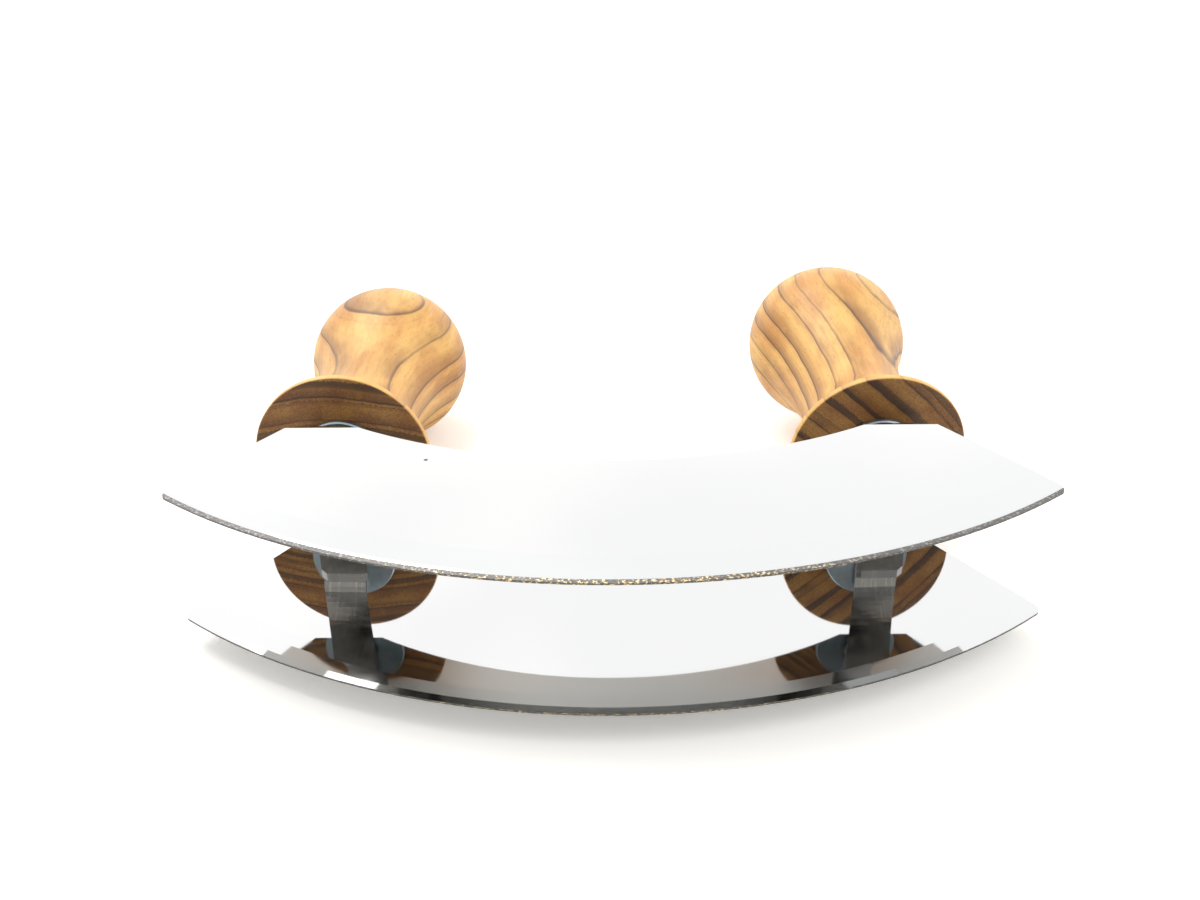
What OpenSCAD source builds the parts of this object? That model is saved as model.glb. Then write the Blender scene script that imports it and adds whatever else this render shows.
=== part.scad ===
// Double-blade mezzaluna: two curved blades joined by two strap brackets, each holding a turned wooden knob.
// It lies on its knobs, blades level. X runs along the blades, +Y from the cutting edges to the knobs, +Z up.
// Profiles are first drawn about the line through the blade tips, midway between the blades.

/* [Blades] */
// Length of a blade from tip to tip
blade_l = 180; // [160:1:240]
// Thickness of the blade steel
blade_t = 1.5; // [1:0.1:2.5]
// How far the cutting edge bows out beyond the line through the tips
edge_sag = 31.7; // [24:0.1:45]
// Distance of the straight parts of the back from the line through the tips
back_y = 28.6; // [26:0.1:36]
// Half width at the outer ends of the straight parts of the back
back_outer = 71.9; // [68:0.1:78]
// Half width at the inner ends of the straight parts of the back
back_inner = 55.7; // [44:0.1:58]
// Distance of the hollow's deepest point from the line through the tips
hollow_y = 12.6; // [4:0.1:20]
// Radius of the rounded tips
tip_r = 2; // [0.5:0.1:3]
// Distance between the outer faces of the two blades
stack_h = 30.7; // [26:0.1:36]

/* [Cutting edge] */
// Width of the grind on the outer face
outer_grind_w = 8; // [4:0.1:12]
// Depth of the grind on the outer face at the edge
outer_grind_d = 0.3; // [0.1:0.05:0.35]
// Width of the grind on the inner face
inner_grind_w = 4.6; // [2:0.1:8]
// Depth of the grind on the inner face at the edge
inner_grind_d = 0.15; // [0.05:0.05:0.2]
// Width of the small bevel at the very edge
edge_bevel_w = 1.5; // [0.5:0.1:2.5]
// Depth of the small bevel on each side
edge_bevel_d = 0.3; // [0.1:0.05:0.3]

/* [Brackets] */
// Width of the bracket strap
strap_w = 10.4; // [9.6:0.1:14]
// Thickness of the bracket strap
strap_t = 1; // [0.8:0.1:1.5]
// Inside radius of the strap's two bends
bend_r = 11; // [4:0.1:11.2]
// Distance of the bracket's back from the line through the tips
bracket_y = 41.7; // [39:0.1:50]
// Distance of the front ends of the legs from the line through the tips
leg_front_y = 13.5; // [10:0.1:20]
// Slant of the legs towards the middle, in degrees
leg_slant = 14.7; // [8:0.1:18]
// Offset of the strap from the knob's axis, away from the middle
strap_offset = 2.4; // [0:0.1:2.6]
// Size of the cut corner at each leg's front
leg_chamfer = 1.6; // [0.5:0.1:3]

/* [Washers and screws] */
// Diameter of the washer
washer_d = 20.4; // [14:0.1:26]
// Thickness of the washer
washer_t = 1.5; // [1:0.1:2.5]
// Width of the small chamfer round the washer
washer_chamfer = 0.3; // [0.1:0.1:0.4]
// Diameter over the screw's thread
screw_d = 4; // [3:0.1:4.4]
// Depth of the screw's thread
thread_depth = 0.5; // [0.2:0.1:0.6]
// Distance from one thread crest to the next
thread_pitch = 2; // [1.5:0.1:3]
// Length of the screw under its head
screw_l = 36; // [26:1:45]
// Diameter of the screw head
head_d = 6.4; // [5.5:0.1:7.5]
// Height of the screw head
head_h = 2; // [1.6:0.1:3]
// Clearance between the screw and the holes that it passes through, all round
screw_clear = 0.15; // [0.05:0.05:0.25]

/* [Knobs] */
// Distance of each knob's axis from the middle of the blades
knob_x = 63.6; // [60:0.1:65]
// Diameter of the flange at the front of the knob
flange_d = 41.8; // [34:0.1:46]
// Thickness of the flange at its rim
flange_t = 1.6; // [1:0.1:3]
// Diameter of the ball at the back of the knob
ball_d = 42.4; // [36:0.1:50]
// Distance from the flange's face to the centre of the ball
ball_reach = 57.8; // [52:0.1:70]
// Diameter of the knob at its waist
waist_d = 26; // [20:0.1:30]
// Distance from the flange's face to the waist
waist_reach = 20; // [16:0.1:24]
// Radius of the rounded rim of the flange
rim_r = 0.6; // [0.3:0.1:0.8]
// Turn of each knob and bracket towards the middle, in degrees
toe_in = 2.2; // [0:0.1:4]
// Upward lean of the left knob, in degrees
left_lean = 0; // [0:0.1:4]
// Upward lean of the right knob, in degrees
right_lean = 5.3; // [0:0.1:6]

/* [Hidden] */
$fn = 96;
blade_colour = [0.86, 0.87, 0.88];
bracket_colour = [0.5, 0.5, 0.49];
washer_colour = [0.62, 0.67, 0.7];
screw_colour = [0.7, 0.7, 0.68];
olive_colour = [0.74, 0.52, 0.28];

// Small overlap that keeps cuts clean
eps = 0.01;

// Blade outline: the edge is an arc over the tips, the hollow an arc through the back's inner ends
edge_r = (pow(blade_l / 2, 2) + pow(edge_sag, 2)) / (2 * edge_sag);
edge_centre_y = edge_r - edge_sag;
hollow_depth = back_y - hollow_y;
hollow_r = (pow(back_inner, 2) + pow(hollow_depth, 2)) / (2 * hollow_depth);
hollow_centre_y = hollow_y + hollow_r;

// Tip: unit vector along the slanted end, its inward normal, and the centre of the rounding
end_dir = [blade_l / 2 - back_outer, -back_y] / norm([blade_l / 2 - back_outer, -back_y]);
end_in = [end_dir[1], -end_dir[0]];
tip_base = [blade_l / 2, 0] + tip_r * end_in;
tip_rel = tip_base - [0, edge_centre_y];
tip_along = tip_rel * end_dir;
tip_shift = -tip_along - sqrt(pow(tip_along, 2) - tip_rel * tip_rel + pow(edge_r - tip_r, 2));
tip_shift_near = -tip_along + sqrt(pow(tip_along, 2) - tip_rel * tip_rel + pow(edge_r - tip_r, 2));
tip_centre = tip_base + end_dir * (abs(tip_shift) < abs(tip_shift_near) ? tip_shift : tip_shift_near);
tip_out = (tip_centre - [0, edge_centre_y]) / norm(tip_centre - [0, edge_centre_y]);

// The brackets fill the space between the blades
gap_h = stack_h - 2 * blade_t;
washer_r = washer_d / 2;
screw_r = screw_d / 2;
hole_r = screw_r + screw_clear;
flange_r = flange_d / 2;
ball_r = ball_d / 2;
waist_r = waist_d / 2;

// Neck arcs: one runs from the flange to the waist, the other from the waist to the ball, tangent to it
flare_dy = waist_reach - flange_t;
flare_dr = flange_r - waist_r;
flare_r = (pow(flare_dy, 2) + pow(flare_dr, 2)) / (2 * flare_dr);
neck_dy = ball_reach - waist_reach;
neck_r = (pow(neck_dy, 2) + pow(waist_r, 2) - pow(ball_r, 2)) / (2 * (ball_r - waist_r));

// The origin is under the middle of the part, on the surface that it lies on
reach = washer_t + ball_reach;
far_y = bracket_y + reach * cos(toe_in) * cos(min(left_lean, right_lean)) + ball_r;
mid_y = (far_y - edge_sag) / 2;
rest_z = max(flange_r, ball_r);

// Points of a rounded corner at b between the lines to a and c
function corner(a, b, c, r, n = 14) =
    let (u = (a - b) / norm(a - b), v = (c - b) / norm(c - b), half = acos(u * v) / 2)
    let (m = b + (u + v) / norm(u + v) * r / sin(half), p = b + u * r / tan(half) - m)
    let (turn = (180 - 2 * half) * sign(u[1] * v[0] - u[0] * v[1]))
    [for (i = [0 : n]) m + [p[0] * cos(turn * i / n) - p[1] * sin(turn * i / n),
        p[0] * sin(turn * i / n) + p[1] * cos(turn * i / n)]];

// Points of an arc about c from angle a to angle b
function arc(c, r, a, b, n) = [for (i = [0 : n]) c + r * [cos(a + (b - a) * i / n), sin(a + (b - a) * i / n)]];

// Moves a shape drawn about the tip line into the part's frame
module placed() {
    translate([0, -mid_y, rest_z])
        children();
}

// Frame of one knob's fastening: origin on the bracket's back face, +Y along the knob
module at_bracket(side) {
    placed()
        translate([side * knob_x, bracket_y, 0])
            rotate([0, 0, side * toe_in])
                children();
}

// Turns a shape drawn along +Z to run along the leaning knob
module along_knob(side, lean) {
    at_bracket(side)
        rotate([lean - 90, 0, 0])
            children();
}

module sharp_outline() {
    difference() {
        intersection() {
            translate([0, edge_centre_y])
                circle(r = edge_r, $fn = 360);
            polygon([[-back_outer, back_y], [back_outer, back_y], [blade_l / 2, 0],
                [blade_l / 2, -edge_sag - 1], [-blade_l / 2, -edge_sag - 1], [-blade_l / 2, 0]]);
        }
        translate([0, hollow_centre_y])
            circle(r = hollow_r, $fn = 240);
    }
}

// What comes off one tip to round it
module tip_waste() {
    difference() {
        polygon([tip_centre, tip_centre - end_in * tip_r, tip_centre - end_in * 2 * tip_r,
            [blade_l / 2 + 2 * tip_r, -tip_r], tip_centre + tip_out * 2 * tip_r,
            tip_centre + tip_out * tip_r]);
        translate(tip_centre)
            circle(r = tip_r, $fn = 48);
    }
}

module outline() {
    difference() {
        sharp_outline();
        tip_waste();
        mirror([1, 0])
            tip_waste();
    }
}

// Disc about the edge arc's centre whose rim carries the grinds and the edge bevels
module ground_disc() {
    translate([0, edge_centre_y, 0])
        rotate_extrude($fn = 360)
            polygon([[0, 0], [edge_r - inner_grind_w, 0], [edge_r - edge_bevel_w, inner_grind_d],
                [edge_r, inner_grind_d + edge_bevel_d],
                [edge_r, blade_t - outer_grind_d - edge_bevel_d],
                [edge_r - edge_bevel_w, blade_t - outer_grind_d],
                [edge_r - outer_grind_w, blade_t], [0, blade_t]]);
}

// One blade lying on its inner face
module blade() {
    intersection() {
        translate([0, 0, -eps])
            linear_extrude(blade_t + 2 * eps)
                outline();
        ground_disc();
    }
}

module upper_blade() {
    color(blade_colour)
        placed()
            translate([0, 0, gap_h / 2])
                blade();
}

module lower_blade() {
    color(blade_colour)
        placed()
            translate([0, 0, -gap_h / 2])
                mirror([0, 0, 1])
                    blade();
}

// Side view of the bent strap, with Y as the first axis: its web leans with the knob
module strap_profile(lean) {
    top = gap_h / 2;
    slope = tan(lean);
    web = strap_t / cos(lean);
    front = leg_front_y - bracket_y;
    inner = top - strap_t;
    o_front_top = [front, top];
    o_top = [-slope * top, top];
    o_low = [slope * top, -top];
    o_front_low = [front, -top];
    i_front_low = [front, -inner];
    i_low = [slope * inner - web, -inner];
    i_top = [-slope * inner - web, inner];
    i_front_top = [front, inner];
    polygon(concat([o_front_top], corner(o_front_top, o_top, o_low, bend_r + strap_t),
        corner(o_top, o_low, o_front_low, bend_r + strap_t), [o_front_low, i_front_low],
        corner(i_front_low, i_low, i_top, bend_r), corner(i_low, i_top, i_front_top, bend_r),
        [i_front_top]));
}

// Plan of the strap on the right-hand side: square at the back, then slanted towards the middle
module strap_plan() {
    front = leg_front_y - bracket_y;
    square_part = -2 * strap_t;
    shift = tan(leg_slant + toe_in) * (front - square_part);
    outer = strap_offset + strap_w / 2;
    inner = strap_offset - strap_w / 2;
    polygon([[inner, washer_t], [outer, washer_t], [outer, square_part],
        [outer + shift, front + leg_chamfer], [outer + shift - leg_chamfer, front],
        [inner + shift + leg_chamfer / 2, front], [inner + shift, front + leg_chamfer / 2],
        [inner, square_part]]);
}

module bracket(side, lean) {
    color(bracket_colour)
        difference() {
            at_bracket(side)
                intersection() {
                    translate([-strap_w * 2, 0, 0])
                        rotate([90, 0, 90])
                            linear_extrude(strap_w * 4)
                                strap_profile(lean);
                    mirror([side < 0 ? 1 : 0, 0, 0])
                        translate([0, 0, -gap_h])
                            linear_extrude(2 * gap_h)
                                strap_plan();
                }
            along_knob(side, lean)
                translate([0, 0, -2 * strap_t])
                    cylinder(r = hole_r, h = 4 * strap_t, $fn = 48);
        }
}

module left_bracket() {
    bracket(-1, left_lean);
}

module right_bracket() {
    bracket(1, right_lean);
}

module washer(side, lean) {
    color(washer_colour)
        along_knob(side, lean)
            rotate_extrude()
                polygon([[hole_r, 0], [washer_r - washer_chamfer, 0], [washer_r, washer_chamfer],
                    [washer_r, washer_t - washer_chamfer], [washer_r - washer_chamfer, washer_t],
                    [hole_r, washer_t]]);
}

module left_washer() {
    washer(-1, left_lean);
}

module right_washer() {
    washer(1, right_lean);
}

// Pan-head wood screw: the head bears on the inside of the web, the thread bites into the knob
module screw(side, lean) {
    root_r = screw_r - thread_depth;
    thread_start = washer_t + flange_t + strap_t;
    turns = floor((screw_l - thread_start - screw_d) / thread_pitch);
    color(screw_colour)
        along_knob(side, lean)
            translate([0, 0, -strap_t])
                difference() {
                    union() {
                        translate([0, 0, -head_h / 2])
                            cylinder(r = head_d / 2, h = head_h / 2, $fn = 48);
                        translate([0, 0, -head_h])
                            cylinder(r1 = head_d / 2 - head_h / 4, r2 = head_d / 2, h = head_h / 2, $fn = 48);
                        translate([0, 0, -eps])
                            cylinder(r = screw_r, h = thread_start + eps, $fn = 48);
                        cylinder(r = root_r, h = screw_l - screw_d, $fn = 48);
                        translate([0, 0, screw_l - screw_d])
                            cylinder(r1 = root_r, r2 = 0, h = screw_d, $fn = 48);
                        for (i = [0 : turns - 1])
                            translate([0, 0, thread_start + i * thread_pitch]) {
                                cylinder(r1 = screw_r, r2 = root_r, h = thread_pitch / 2, $fn = 48);
                            }
                    }
                    for (a = [0, 90])
                        rotate([0, 0, a])
                            translate([-head_d / 3, -head_d / 16, -head_h - eps])
                                cube([head_d * 2 / 3, head_d / 8, head_h / 2]);
                }
}

module left_screw() {
    screw(-1, left_lean);
}

module right_screw() {
    screw(1, right_lean);
}

// Half section of the knob, radius along X and the knob's axis along Y
module knob_profile() {
    bore_l = screw_l - strap_t - washer_t + 2 * screw_clear;
    flare_span = asin(flare_dy / flare_r);
    neck_span = asin(neck_dy / (neck_r + ball_r));
    polygon(concat(
        [[0, bore_l], [hole_r, bore_l], [hole_r, 0]],
        arc([flange_r - rim_r, rim_r], rim_r, -90, 0, 6),
        arc([waist_r + flare_r, waist_reach], flare_r, 180 + flare_span, 180, 14),
        arc([waist_r + neck_r, waist_reach], neck_r, 180 - neck_span / 12, 180 - neck_span, 11),
        arc([0, ball_reach], ball_r, 3 - neck_span, 87, 40),
        [[0, ball_reach + ball_r]]));
}

module handle(side, lean) {
    color(olive_colour)
        along_knob(side, lean)
            translate([0, 0, washer_t])
                rotate_extrude()
                    knob_profile();
}

module left_handle() {
    handle(-1, left_lean);
}

module right_handle() {
    handle(1, right_lean);
}

upper_blade();
lower_blade();
left_bracket();
right_bracket();
left_washer();
right_washer();
left_screw();
right_screw();
left_handle();
right_handle();
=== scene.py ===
"""Looks of a double-blade mezzaluna: polished blades, strap brackets, washers and turned olive wood knobs."""

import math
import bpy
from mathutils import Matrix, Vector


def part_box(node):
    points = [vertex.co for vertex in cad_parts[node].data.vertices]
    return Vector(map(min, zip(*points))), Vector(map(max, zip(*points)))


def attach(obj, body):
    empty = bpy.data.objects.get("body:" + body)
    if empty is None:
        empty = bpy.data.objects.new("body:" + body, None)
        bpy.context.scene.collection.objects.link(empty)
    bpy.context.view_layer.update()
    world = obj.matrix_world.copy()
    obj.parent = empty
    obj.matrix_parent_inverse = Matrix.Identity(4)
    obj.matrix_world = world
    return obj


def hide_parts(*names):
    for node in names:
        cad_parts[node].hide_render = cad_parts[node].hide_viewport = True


bl_info = {
    "name": "Mezzaluna Looks",
    "version": (1, 0, 0),
    "blender": (4, 5, 0),
    "location": "3D View > Sidebar > Mezzaluna",
    "description": "Dresses a double-blade mezzaluna with turned wooden knobs and polished steel",
    "category": "Object",
}

import bpy
from bpy.props import FloatProperty, FloatVectorProperty, IntProperty, PointerProperty
from mathutils import Matrix, Vector

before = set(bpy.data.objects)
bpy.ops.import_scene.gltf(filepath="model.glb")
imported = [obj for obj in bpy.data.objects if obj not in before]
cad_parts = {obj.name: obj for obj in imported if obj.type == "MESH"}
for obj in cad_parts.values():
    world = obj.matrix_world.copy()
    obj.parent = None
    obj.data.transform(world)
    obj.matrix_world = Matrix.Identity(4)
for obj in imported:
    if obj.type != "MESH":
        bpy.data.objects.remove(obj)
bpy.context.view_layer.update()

MM = 0.001
SIDES = {"left": -1, "right": 1}

# Points along each arc of a knob's section
ARC_STEPS = {"rim": 8, "flare": 18, "neck": 16, "ball": 60}

# How the growth rings of each knob run, in millimetres across the knob: where they centre, how far apart
# their dark borders lie, where the first one is, how far they wander, and how they tilt along the knob
RINGS = {
    "left": {"pith": (1.0, 62.0), "spacing": 6.0, "first": 77.9, "wander": 3.4, "ripple": 0.4,
             "tilt": (-3.0, 0.0), "seed": 3.1},
    "right": {"pith": (-58.0, 52.0), "spacing": 5.0, "first": 60.0, "wander": 3.4, "ripple": 0.8,
              "tilt": (5.0, -9.0), "seed": 11.4},
}

# Each lamp's place, size across and power, in metres and watts
LAMPS = {
    "key_light": {"place": (-0.35, 0.25, 0.9), "size": 0.6, "power": 5.5},
    "fill_light": {"place": (0.6, -0.2, 0.6), "size": 0.5, "power": 1.5},
}


def length(name, description, default):
    """A size in metres."""
    return FloatProperty(name=name, description=description, default=default, unit="LENGTH")


def angle(name, description, degrees):
    """An angle, given in degrees."""
    return FloatProperty(name=name, description=description, default=math.radians(degrees), subtype="ANGLE")


def tone(name, description, default):
    """A linear colour."""
    return FloatVectorProperty(name=name, description=description, default=default, subtype="COLOR")


class KnobSizes(bpy.types.PropertyGroup):
    """Sizes and colours of the two turned knobs."""

    flange_r: length("Flange radius", "Radius of the flange", 0.0209)
    flange_t: length("Flange thickness", "Thickness of the flange at its rim", 0.0016)
    rim_r: length("Rim rounding", "Radius of the rim's front edge", 0.0006)
    ball_r: length("Ball radius", "Radius of the ball", 0.0212)
    ball_reach: length("Ball reach", "From the flange's face to the ball's centre", 0.0578)
    waist_r: length("Waist radius", "Radius at the waist", 0.013)
    waist_reach: length("Waist reach", "From the flange's face to the waist", 0.020)
    bore_r: length("Bore radius", "Radius of the screw's hole", 0.00215)
    bore_l: length("Bore depth", "Depth of the screw's hole", 0.0336)
    axis_x: length("Knob spacing", "From the tool's middle to a knob's axis", 0.0636)
    washer_t: length("Washer", "Thickness of the washer", 0.0015)
    toe_in: angle("Toe-in", "Turn of each knob towards the middle", 2.2)
    right_lean: angle("Right lean", "Upward lean of the right knob", 5.3)
    steps: IntProperty(name="Steps", description="Segments round a knob", default=96, min=24)
    pale: tone("Pale wood", "Colour of the pale growth", (0.86, 0.50, 0.145))
    honey: tone("Honey wood", "Main colour of the wood", (0.68, 0.33, 0.085))
    brown: tone("Brown wood", "Colour of the smoky bands", (0.27, 0.115, 0.034))
    vein: tone("Vein", "Colour of the thin dark borders", (0.075, 0.03, 0.012))
    # The end face's darkening is partly oil in the end grain and partly painted shade
    soaked_and_shaded_dark: tone("Soaked dark", "Darkest stain of the oil on the end face", (0.27, 0.215, 0.15))
    soaked_and_shaded_light: tone("Soaked light", "Lightest stain of the oil on the end face", (0.52, 0.40, 0.27))


class SteelSizes(bpy.types.PropertyGroup):
    """Places and colours of the steel pieces' finishes, with the shade and glints painted on the blades'
    edge.
    """

    edge_radius: length("Edge radius", "Radius of the cutting edge's arc", 0.143614)
    edge_band: length("Edge band", "Width of the rough band at the edge", 0.0009)
    grind_band: length("Grind band", "Width of the outer grind", 0.008)
    polish: tone("Polished steel", "Colour of the polished faces", (0.62, 0.62, 0.613))
    haze: tone("Haze", "Colour of the polished faces where they are hazy", (0.51, 0.517, 0.52))
    ground: tone("Grind", "Colour of the ground faces", (0.56, 0.57, 0.58))
    speck: tone("Specks", "Colour of the few specks on the blades", (0.10, 0.03, 0.03))
    # Partly the rough cut steel's own colour, partly painted shade for the dark reflections along the edge
    rough_edge_and_shade: tone("Raw edge", "Colour of the rough cut edges", (0.13, 0.125, 0.12))
    # Painted highlights: the glints along the blades' edge are painted into its colour, warmer at the middle
    painted_glint: tone("Glint", "Colour of the glints along the edge", (0.55, 0.54, 0.52))
    warm_painted_glint: tone("Warm glint", "Colour of the glints at the middle of the edge", (0.86, 0.66, 0.36))
    strap: tone("Strap", "Colour of the bracket strap", (0.27, 0.262, 0.25))
    drawn: tone("Drawn lines", "Colour of the fine lines along the strap", (0.62, 0.61, 0.58))
    zinc: tone("Zinc", "Colour of the washers", (0.28, 0.33, 0.365))


class StageSizes(bpy.types.PropertyGroup):
    """Camera, floor and light."""

    camera_place: FloatVectorProperty(name="Camera", description="Place of the camera", subtype="TRANSLATION",
                                      unit="LENGTH", default=(-0.0040, -0.2390, 0.1459))
    camera_pitch: angle("Pitch", "Downward tilt of the camera", 27.4)
    camera_turn: angle("Turn", "Turn of the camera about the vertical", -0.36)
    camera_roll: angle("Roll", "Roll of the camera", -0.18)
    lens: FloatProperty(name="Lens", description="Focal length in millimetres", default=33.75, min=10.0)
    sensor: FloatProperty(name="Sensor", description="Width of the sensor in millimetres", default=36.0)
    floor_size: length("Floor", "Side of the square floor", 6.0)
    floor_tone: tone("Floor colour", "Colour of the floor", (0.93, 0.915, 0.88))
    floor_glow: tone("Floor glow", "Colour of the light that keeps the floor white", (1.0, 0.985, 0.95))
    glow: FloatProperty(name="Glow", description="Strength of the floor's light, for the camera only",
                        default=0.30)
    white: FloatProperty(name="White", description="Strength of the white surroundings", default=1.0)
    dim: FloatProperty(name="Dim", description="Strength of the surroundings behind the camera", default=0.52)
    glare: FloatProperty(name="Glare", description="How much brighter the steel mirrors the surroundings",
                         default=1.62)


def deselect_all():
    """Leaves nothing selected, because an edit acts on all that is."""
    if bpy.context.mode != "OBJECT":
        bpy.ops.object.mode_set(mode="OBJECT")
    bpy.ops.object.select_all(action="DESELECT")


def knob_matrix(sizes, side):
    """From a knob's own frame, with Z along it and its origin at the flange's face, to the part's frame."""
    lean = sizes.right_lean if side > 0 else 0.0
    mid_z = (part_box("lower_blade")[0].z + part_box("upper_blade")[1].z) / 2
    place = Matrix.Translation((side * sizes.axis_x, seat_plane(sizes), mid_z))
    turn = Matrix.Rotation(side * sizes.toe_in, 4, "Z") @ Matrix.Rotation(lean - math.pi / 2, 4, "X")
    return place @ turn @ Matrix.Translation((0, 0, sizes.washer_t))


def seat_plane(sizes):
    """Where the left knob's washer seats: its front face on the knob's axis."""
    low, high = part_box("left_washer")
    return (low.y + high.y - sizes.washer_t) / 2


def knob_profile(sizes):
    """Half section of a knob as (radius, distance along), from the bore's bottom to the ball's end."""
    flare_dy = sizes.waist_reach - sizes.flange_t
    flare_dr = sizes.flange_r - sizes.waist_r
    flare_r = (flare_dy ** 2 + flare_dr ** 2) / (2 * flare_dr)
    flare_span = math.asin(flare_dy / flare_r)
    neck_dy = sizes.ball_reach - sizes.waist_reach
    neck_r = (neck_dy ** 2 + sizes.waist_r ** 2 - sizes.ball_r ** 2) / (2 * (sizes.ball_r - sizes.waist_r))
    neck_span = math.asin(neck_dy / (neck_r + sizes.ball_r))
    ball_gap = math.radians(2)

    def arc(part, r, y, radius, start, end):
        count = ARC_STEPS[part]
        angles = [start + (end - start) * i / count for i in range(count + 1)]
        return [(r + radius * math.cos(a), y + radius * math.sin(a)) for a in angles]

    points = [(0, sizes.bore_l), (sizes.bore_r, sizes.bore_l), (sizes.bore_r, 0)]
    points += arc("rim", sizes.flange_r - sizes.rim_r, sizes.rim_r, sizes.rim_r, -math.pi / 2, 0)
    points += arc("flare", sizes.waist_r + flare_r, sizes.waist_reach, flare_r, math.pi + flare_span, math.pi)
    points += arc("neck", sizes.waist_r + neck_r, sizes.waist_reach, neck_r, math.pi, math.pi - neck_span)[1:]
    points += arc("ball", 0, sizes.ball_reach, sizes.ball_r, ball_gap - neck_span, math.pi / 2 - ball_gap)
    return points + [(0, sizes.ball_reach + sizes.ball_r)]


def turn_on_lathe(name, points, steps):
    """Extrudes a chain of points from a single vertex and spins it round Z, as on a lathe."""
    weld_gap = MM / 200
    deselect_all()
    bpy.ops.mesh.primitive_plane_add(size=MM, location=(0, 0, 0))
    piece = bpy.context.object
    piece.name = piece.data.name = name
    bpy.ops.object.mode_set(mode="EDIT")
    bpy.ops.mesh.select_all(action="SELECT")
    bpy.ops.mesh.merge(type="CENTER")
    bpy.ops.transform.translate(value=(points[0][0], 0, points[0][1]))
    for (r0, y0), (r1, y1) in zip(points, points[1:]):
        bpy.ops.mesh.extrude_vertices_move(TRANSFORM_OT_translate={"value": (r1 - r0, 0, y1 - y0)})
    bpy.ops.mesh.select_all(action="SELECT")
    bpy.ops.mesh.spin(steps=steps, angle=2 * math.pi, center=(0, 0, 0), axis=(0, 0, 1))
    bpy.ops.mesh.select_all(action="SELECT")
    bpy.ops.mesh.remove_doubles(threshold=weld_gap)
    bpy.ops.mesh.normals_make_consistent(inside=False)
    bpy.ops.object.mode_set(mode="OBJECT")
    return piece


class Tree:
    """Short calls that build the nodes of a material, or of the world."""

    def __init__(self, owner, shader="Principled BSDF"):
        self.owner = owner
        self.owner.use_nodes = True
        self.nodes = owner.node_tree.nodes
        self.links = owner.node_tree.links
        self.shader = self.nodes[shader]

    def put(self, socket, value):
        """Links a socket's value, or sets a plain one."""
        if isinstance(value, bpy.types.NodeSocket):
            self.links.new(value, socket)
        elif value is not None:
            socket.default_value = value

    def node(self, kind, inputs=(), **settings):
        """A new node with its settings and inputs."""
        new = self.nodes.new(kind)
        for key, value in settings.items():
            setattr(new, key, value)
        for key, value in dict(inputs).items():
            self.put(new.inputs[key], value)
        return new

    def math(self, operation, a, b=None):
        """One sum, product or other step on plain numbers."""
        return self.node("ShaderNodeMath", {0: a, 1: b}, operation=operation).outputs[0]

    def times(self, a, b):
        """A product of two numbers."""
        return self.math("MULTIPLY", a, b)

    def vector(self, operation, a, b=None):
        """One step on vectors."""
        new = self.node("ShaderNodeVectorMath", {0: a}, operation=operation)
        if b is not None:
            self.put(new.inputs["Scale"] if operation == "SCALE" else new.inputs[1], b)
        return new.outputs["Value" if operation == "LENGTH" else "Vector"]

    def axis(self, vector, letter):
        """One coordinate of a vector."""
        return self.node("ShaderNodeSeparateXYZ", {"Vector": vector}).outputs[letter]

    def place(self):
        """Where a point lies, in the part's frame."""
        return self.node("ShaderNodeTexCoord").outputs["Object"]

    def noise(self, at, scale, detail=3.0, roughness=0.5):
        """Cloudy noise from 0 to 1."""
        return self.node("ShaderNodeTexNoise", {"Vector": at, "Scale": scale, "Detail": detail,
                                                "Roughness": roughness}).outputs["Fac"]

    def wobble(self, at, scale, detail, reach):
        """A random offset, up to half the reach each way."""
        noise = self.node("ShaderNodeTexNoise", {"Vector": at, "Scale": scale, "Detail": detail})
        centred = self.vector("SUBTRACT", noise.outputs["Color"], (0.5, 0.5, 0.5))
        return self.vector("SCALE", centred, reach)

    def bands(self, along, scale, detail=3.0, roughness=0.5):
        """Noise from 0 to 1 that changes only along one number."""
        return self.node("ShaderNodeTexNoise", {"W": along, "Scale": scale, "Detail": detail,
                                                "Roughness": roughness}, noise_dimensions="1D").outputs["Fac"]

    def span(self, value, low, high, out_low=0.0, out_high=1.0):
        """A soft step between two values."""
        return self.node("ShaderNodeMapRange", {"Value": value, "From Min": low, "From Max": high,
                                                "To Min": out_low, "To Max": out_high},
                         interpolation_type="SMOOTHSTEP").outputs["Result"]

    def mix(self, factor, a, b, blend="MIX"):
        """A mix of two colours."""
        new = self.node("ShaderNodeMix", data_type="RGBA", blend_type=blend)
        self.put(new.inputs["Factor"], factor)
        self.put(new.inputs["A"], colour(a))
        self.put(new.inputs["B"], colour(b))
        return new.outputs["Result"]

    def bump(self, height, strength, distance, normal=None):
        """Fine relief, over an earlier one if given."""
        return self.node("ShaderNodeBump", {"Height": height, "Strength": strength, "Distance": distance,
                                            "Normal": normal}).outputs["Normal"]

    def finish(self, **sockets):
        """Sets the shader's inputs, with a space for each underscore, and returns what holds the nodes."""
        for key, value in sockets.items():
            self.put(self.shader.inputs[key.replace("_", " ")], value)
        return self.owner


def colour(value):
    """A colour with its alpha, or a socket as it is."""
    if isinstance(value, bpy.types.NodeSocket):
        return value
    return tuple(value)[:3] + (1.0,)


def shade(value, factor):
    """A colour made darker or lighter."""
    return tuple(min(1.0, channel * factor) for channel in value)


def dress(piece, material):
    """Gives a piece one material all over."""
    piece.data.materials.clear()
    piece.data.materials.append(material)


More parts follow.
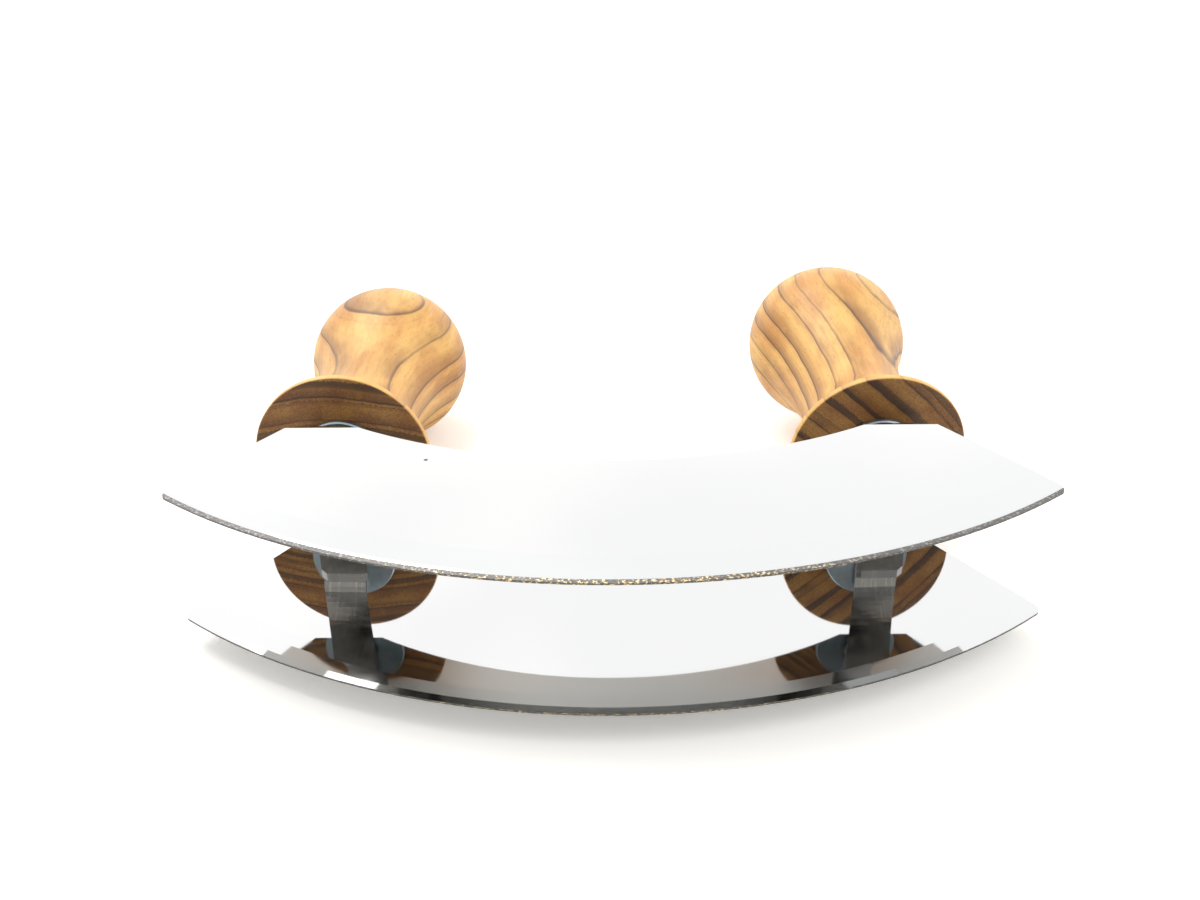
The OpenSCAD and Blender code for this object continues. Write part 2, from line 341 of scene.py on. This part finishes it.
def ring_radius(t, mm, long_way, rings):
    """Distance from the pith across the grain, in millimetres, with the grain's wander and tilt."""
    warped = t.vector("ADD", mm, t.wobble(long_way, 0.032, 1.5, rings["wander"]))
    warped = t.vector("ADD", warped, t.wobble(long_way, 0.22, 2.0, rings["ripple"]))
    tilt = [math.radians(degrees) for degrees in rings["tilt"]] + [0.0]
    turned = t.node("ShaderNodeMapping", {"Vector": warped, "Rotation": tilt}).outputs[0]
    across = t.vector("MULTIPLY", t.vector("SUBTRACT", turned, (*rings["pith"], 0)), (1.0, 1.0, 0.0))
    return t.vector("LENGTH", across)


def growth_bands(t, ring, long_way, rings):
    """Per point: how smoky its growth band is, how near its dark border lies, and how strong both are."""
    uneven = t.bands(t.math("ADD", ring, rings["seed"] * 29), 0.11, detail=1.0)
    count = t.math("DIVIDE", t.math("SUBTRACT", ring, rings["first"]), rings["spacing"])
    count = t.math("ADD", count, t.times(t.math("SUBTRACT", uneven, 0.5), 0.5))
    phase = t.math("FRACT", count)
    each = t.node("ShaderNodeTexWhiteNoise", {"W": t.math("FLOOR", count)}, noise_dimensions="1D")
    patch = t.noise(long_way, 0.07, detail=3.0, roughness=0.55)
    strength = t.span(each.outputs["Value"], 0.0, 1.0, 0.75, 1.0)
    strength = t.times(strength, t.span(patch, 0.34, 0.52, 0.6, 1.0))
    border = t.math("MAXIMUM", t.span(phase, 0.0, 0.11, 1.0, 0.0), t.span(phase, 0.965, 1.0))
    outer = t.times(t.span(phase, 0.02, 0.75, 1.0, 0.0), t.span(patch, 0.36, 0.56, 0.25, 1.0))
    inner = t.times(t.span(phase, 0.72, 1.0), 0.30)
    return t.math("MAXIMUM", outer, inner), border, strength


def soak_and_shade_end_face(t, base, sizes, mm, ring, speckle):
    """Darkens the flange's end face, partly as the end grain drinks the oil and partly as painted shade, and
    paints a pale line round its rim.
    """
    along = t.axis(mm, "Z")
    radius = t.vector("LENGTH", t.vector("MULTIPLY", mm, (1.0, 1.0, 0.0)))
    rim_mm = sizes.flange_r / MM
    face = t.times(t.span(along, 0.3, 0.7, 1.0, 0.0), t.span(radius, rim_mm - 0.35, rim_mm - 0.1, 1.0, 0.0))
    mottle = t.mix(t.span(speckle, 0.4, 0.7), sizes.soaked_and_shaded_dark, sizes.soaked_and_shaded_light)
    # Painted shade, partly oil in the end grain: the front face is darkened towards the mottled colour
    base = t.mix(t.times(face, 0.92), base, t.mix(1.0, base, mottle, "MULTIPLY"))
    smoke = t.bands(t.math("ADD", ring, t.times(speckle, 1.2)), 0.30, detail=4.0, roughness=0.65)
    smoke = t.times(t.span(smoke, 0.50, 0.60), face)
    base = t.mix(t.times(smoke, 0.75), base, shade(sizes.vein, 0.45))
    rim = t.times(t.span(radius, rim_mm - 0.25, rim_mm - 0.05), t.span(along, 2.2, 1.2))
    return t.mix(t.times(rim, 0.55), base, sizes.pale), face


def olive_wood(name, sizes, to_part, rings):
    """Oiled olive wood: growth bands that end in dark borders, smoky patches and fine grain."""
    t = Tree(bpy.data.materials.new(name))
    local = t.node("ShaderNodeMapping", {"Vector": t.place(), "Location": to_part.translation,
                                         "Rotation": to_part.to_euler()}, vector_type="TEXTURE").outputs[0]
    mm = t.vector("SCALE", local, 1 / MM)
    seeded = t.vector("ADD", mm, (rings["seed"] * 37, rings["seed"] * 11, rings["seed"] * 53))
    long_way = t.vector("MULTIPLY", seeded, (1.0, 1.0, 0.45))
    ring = ring_radius(t, mm, long_way, rings)
    fade, border, strength = growth_bands(t, ring, long_way, rings)
    fine = t.bands(ring, 1.1, detail=3.0, roughness=0.65)
    streak = t.noise(t.vector("MULTIPLY", seeded, (1.0, 1.0, 0.05)), 1.1, detail=4.0, roughness=0.65)
    pore = t.noise(t.vector("MULTIPLY", seeded, (1.0, 1.0, 0.10)), 3.2, detail=1.0)
    cloud = t.noise(long_way, 0.12, detail=3.0)
    speckle = t.noise(seeded, 2.4, detail=3.0, roughness=0.7)
    base = t.mix(t.span(cloud, 0.36, 0.62), sizes.honey, sizes.pale)
    base = t.mix(t.times(fade, t.times(strength, 0.85)), base, sizes.brown)
    base = t.mix(t.times(border, t.times(strength, 0.88)), base, sizes.vein)
    base = t.mix(t.times(t.span(fine, 0.52, 0.66), 0.14), base, sizes.brown)
    base = t.mix(t.times(t.span(streak, 0.46, 0.66), 0.16), base, sizes.brown)
    base = t.mix(t.times(t.span(pore, 0.66, 0.74), 0.30), base, sizes.vein)
    # The flange's end face gets painted shade, partly oil soaked into the end grain
    base, face = soak_and_shade_end_face(t, base, sizes, mm, ring, speckle)
    relief = t.bump(streak, 0.22, 0.0002, t.bump(t.math("ADD", border, pore), 0.15, 0.0002))
    rough = t.math("ADD", t.span(streak, 0.3, 0.7, 0.38, 0.52), t.times(face, 0.14))
    return t.finish(Base_Color=base, Roughness=rough, Normal=relief, Coat_Weight=0.10, Coat_Roughness=0.35)


def polished_steel(name, sizes, arc_centre, outward):
    """Mirror-polished blade steel with faint polishing waves, a rough edge and rough cut ends painted dark,
    partly their own colour and partly painted shade, and painted glints along the edge.
    """
    t = Tree(bpy.data.materials.new(name))
    at = t.place()
    radius = t.vector("LENGTH", t.vector("MULTIPLY", t.vector("SUBTRACT", at, arc_centre), (1.0, 1.0, 0.0)))
    upward = t.axis(t.node("ShaderNodeNewGeometry").outputs["True Normal"], "Z")
    side = t.span(t.math("ABSOLUTE", upward), 0.7, 0.5)

    def near_edge(band, start, end):
        return t.span(radius, sizes.edge_radius - band * start, sizes.edge_radius - band * end)

    grind = near_edge(sizes.grind_band, 1.06, 0.9)
    edge = t.times(near_edge(sizes.edge_band, 1.05, 0.9), t.span(t.times(upward, outward), -0.6, -0.3))
    cut = t.math("MAXIMUM", edge, side)
    ragged = t.noise(t.vector("MULTIPLY", at, (1.0, 1.0, 2.2)), 1500.0, detail=3.0, roughness=0.7)
    # Painted highlights: glints painted along the edge, warmer and denser at its middle
    middle = t.span(t.math("ABSOLUTE", t.axis(at, "X")), 0.06, 0.012)
    painted_glint_tone = t.mix(middle, sizes.painted_glint, sizes.warm_painted_glint)
    rough_edge_and_shade = t.mix(t.times(t.span(ragged, 0.52, 0.62), t.span(middle, 0.0, 1.0, 0.45, 0.9)), sizes.rough_edge_and_shade, painted_glint_tone)
    haze = t.noise(at, 9.0, detail=2.0)
    face = t.mix(t.span(haze, 0.40, 0.62, 0.0, 0.55), sizes.polish, sizes.haze)
    face = t.mix(t.times(grind, 0.25), face, sizes.ground)
    cell = t.node("ShaderNodeTexVoronoi", {"Vector": at, "Scale": 75.0}).outputs["Distance"]
    sparse = t.math("GREATER_THAN", t.noise(at, 41.0, detail=0.0), 0.60)
    face = t.mix(t.times(t.span(cell, 0.05, 0.028), sparse), face, sizes.speck)
    rough = t.math("MAXIMUM", t.span(haze, 0.3, 0.7, 0.015, 0.035), t.times(grind, 0.05))
    rough = t.math("MAXIMUM", rough, t.times(cut, t.span(ragged, 0.3, 0.7, 0.30, 0.55)))
    waves = t.bump(t.noise(at, 28.0, detail=1.0), 0.05, 0.0004)
    relief = t.bump(t.times(ragged, cut), 0.5, 0.0003, waves)
    # The edge and cut ends take the dark colour: partly rough steel, partly painted shade
    return t.finish(Base_Color=t.mix(cut, face, rough_edge_and_shade), Metallic=1.0, Roughness=rough, Normal=relief)


def rolled_strap(name, sizes):
    """Rolled strap steel: satin, with drawn lines along the strap and soft stains."""
    t = Tree(bpy.data.materials.new(name))
    at = t.place()
    lines = t.noise(t.vector("MULTIPLY", at, (1.0, 0.04, 0.05)), 2600.0, detail=3.0, roughness=0.6)
    mottle = t.noise(at, 160.0, detail=4.0, roughness=0.6)
    base = t.mix(t.span(mottle, 0.35, 0.65), sizes.strap, shade(sizes.strap, 1.15))
    base = t.mix(t.times(t.span(lines, 0.5, 0.7), 0.3), base, sizes.drawn)
    rough = t.span(mottle, 0.3, 0.7, 0.15, 0.21)
    return t.finish(Base_Color=base, Metallic=1.0, Roughness=rough, Normal=t.bump(lines, 0.18, 0.0001))


def zinc_plate(name, tint):
    """Zinc plating: faint spangle, fine scratches and a dull blue-grey."""
    t = Tree(bpy.data.materials.new(name))
    at = t.place()
    spangle = t.node("ShaderNodeTexVoronoi", {"Vector": at, "Scale": 900.0}).outputs["Color"]
    cloud = t.noise(at, 240.0, detail=4.0)
    scratch = t.noise(t.vector("MULTIPLY", at, (1.0, 1.0, 0.1)), 2200.0, detail=3.0, roughness=0.7)
    base = t.mix(t.times(cloud, 0.5), tint, shade(tint, 1.5))
    base = t.mix(0.12, base, spangle, "SOFT_LIGHT")
    rough = t.span(cloud, 0.3, 0.7, 0.28, 0.42)
    return t.finish(Base_Color=base, Metallic=0.9, Roughness=rough, Normal=t.bump(scratch, 0.2, 0.0001))


def matching_nodes(word):
    """The CAD nodes whose name ends with a word, left first."""
    return [node for name, node in sorted(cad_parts.items()) if name.endswith(word)]


def add_floor(sizes):
    """A pale floor that looks white to the camera and keeps the object's soft shadow."""
    deselect_all()
    bpy.ops.mesh.primitive_plane_add(size=sizes.floor_size, location=(0, 0, 0))
    floor = bpy.context.object
    floor.name = "floor"
    t = Tree(bpy.data.materials.new("white_table"))
    seen = t.node("ShaderNodeLightPath").outputs["Is Camera Ray"]
    t.finish(Base_Color=colour(sizes.floor_tone), Roughness=0.6, Specular_IOR_Level=0.2,
             Emission_Color=colour(sizes.floor_glow), Emission_Strength=t.times(seen, sizes.glow))
    dress(floor, t.owner)


def add_world(scene, sizes):
    """Even white surroundings, darker behind the camera and brighter in the steel; the camera sees white."""
    t = Tree(bpy.data.worlds.new("white_room"), "Background")
    rays = t.node("ShaderNodeLightPath")
    way = t.node("ShaderNodeTexCoord").outputs["Generated"]
    back = t.span(t.axis(way, "Y"), -0.75, 0.15, sizes.dim, sizes.white)
    mirrored = t.times(back, t.span(rays.outputs["Is Glossy Ray"], 0.0, 1.0, 1.0, sizes.glare))
    seen = rays.outputs["Is Camera Ray"]
    whole = t.node("ShaderNodeMix", {"Factor": seen, "A": mirrored, "B": sizes.white}, data_type="FLOAT")
    scene.world = t.finish(Color=(1.0, 1.0, 1.0, 1.0), Strength=whole.outputs["Result"])


def add_lamps():
    """Two broad soft lamps aimed at the object."""
    for name, lamp in LAMPS.items():
        deselect_all()
        bpy.ops.object.light_add(type="AREA", location=lamp["place"])
        light = bpy.context.object
        light.name = name
        light.data.size = lamp["size"]
        light.data.energy = lamp["power"]
        light.rotation_euler = (-Vector(lamp["place"])).to_track_quat("-Z", "Y").to_euler()


def add_camera(scene, sizes):
    """A camera that stands where the photographer stood."""
    deselect_all()
    bpy.ops.object.camera_add()
    camera = bpy.context.object
    camera.data.lens = sizes.lens
    camera.data.sensor_width = sizes.sensor
    camera.data.clip_start = 10 * MM
    look = (Matrix.Rotation(sizes.camera_turn, 4, "Z")
            @ Matrix.Rotation(math.pi / 2 - sizes.camera_pitch, 4, "X")
            @ Matrix.Rotation(sizes.camera_roll, 4, "Z"))
    camera.matrix_world = Matrix.Translation(sizes.camera_place) @ look
    scene.camera = camera


class MEZZALUNA_OT_blades(bpy.types.Operator):
    """Polishes the two blades"""

    bl_idname = "mezzaluna.blades"
    bl_label = "Polish Blades"

    def execute(self, context):
        sizes = context.scene.mezzaluna_steel
        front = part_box("upper_blade")[0].y
        arc_centre = Vector((0, front + sizes.edge_radius, 0))
        for name, outward in (("upper", 1.0), ("lower", -1.0)):
            steel = polished_steel(name + "_polish", sizes, arc_centre, outward)
            dress(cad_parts[name + "_blade"], steel)
        return {"FINISHED"}


class MEZZALUNA_OT_fastenings(bpy.types.Operator):
    """Finishes the brackets, washers and screws"""

    bl_idname = "mezzaluna.fastenings"
    bl_label = "Finish Fastenings"

    def execute(self, context):
        sizes = context.scene.mezzaluna_steel
        finishes = {
            "_bracket": rolled_strap("rolled_strap", sizes),
            "_washer": zinc_plate("zinc_plate", sizes.zinc),
            "_screw": zinc_plate("screw_zinc", sizes.strap),
        }
        for word, finish in finishes.items():
            for node in matching_nodes(word):
                dress(node, finish)
        return {"FINISHED"}


class MEZZALUNA_OT_knobs(bpy.types.Operator):
    """Turns the two wooden knobs and seats them on their washers"""

    bl_idname = "mezzaluna.knobs"
    bl_label = "Turn Knobs"

    def execute(self, context):
        sizes = context.scene.mezzaluna_knobs
        points = knob_profile(sizes)
        for name, side in SIDES.items():
            knob = turn_on_lathe(name + "_knob", points, sizes.steps)
            to_part = knob_matrix(sizes, side)
            knob.matrix_world = to_part
            deselect_all()
            knob.select_set(True)
            context.view_layer.objects.active = knob
            bpy.ops.object.transform_apply(location=True, rotation=True, scale=True)
            bpy.ops.object.shade_smooth_by_angle(angle=math.radians(40))
            dress(knob, olive_wood(name + "_olive_wood", sizes, to_part, RINGS[name]))
            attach(knob, "root")
            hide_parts(name + "_handle")
        return {"FINISHED"}


class MEZZALUNA_OT_stage(bpy.types.Operator):
    """Adds the pale floor, the soft light and the camera"""

    bl_idname = "mezzaluna.stage"
    bl_label = "Set Stage"

    def execute(self, context):
        sizes = context.scene.mezzaluna_stage
        add_floor(sizes)
        add_world(context.scene, sizes)
        add_lamps()
        add_camera(context.scene, sizes)
        context.scene.view_settings.view_transform = "Standard"
        return {"FINISHED"}


class MEZZALUNA_PT_panel(bpy.types.Panel):
    """Lists the steps that dress the mezzaluna, and its sizes"""

    bl_idname = "MEZZALUNA_PT_panel"
    bl_label = "Mezzaluna"
    bl_space_type = "VIEW_3D"
    bl_region_type = "UI"
    bl_category = "Mezzaluna"

    def draw(self, context):
        scene = context.scene
        for operator in OPERATORS:
            self.layout.operator(operator.bl_idname)
        for group in (scene.mezzaluna_knobs, scene.mezzaluna_steel, scene.mezzaluna_stage):
            box = self.layout.box()
            for key in group.__annotations__:
                box.prop(group, key)


OPERATORS = (MEZZALUNA_OT_blades, MEZZALUNA_OT_fastenings, MEZZALUNA_OT_knobs, MEZZALUNA_OT_stage)
CLASSES = (KnobSizes, SteelSizes, StageSizes) + OPERATORS + (MEZZALUNA_PT_panel,)


def register():
    """Registers the classes and gives the scene its sizes."""
    for each in CLASSES:
        bpy.utils.register_class(each)
    bpy.types.Scene.mezzaluna_knobs = PointerProperty(type=KnobSizes)
    bpy.types.Scene.mezzaluna_steel = PointerProperty(type=SteelSizes)
    bpy.types.Scene.mezzaluna_stage = PointerProperty(type=StageSizes)


def unregister():
    """Takes back what register did."""
    del bpy.types.Scene.mezzaluna_stage
    del bpy.types.Scene.mezzaluna_steel
    del bpy.types.Scene.mezzaluna_knobs
    for each in reversed(CLASSES):
        bpy.utils.unregister_class(each)


def main():
    register()
    bpy.ops.mezzaluna.blades()
    bpy.ops.mezzaluna.fastenings()
    bpy.ops.mezzaluna.knobs()
    bpy.ops.mezzaluna.stage()


if __name__ == "__main__":
    main()
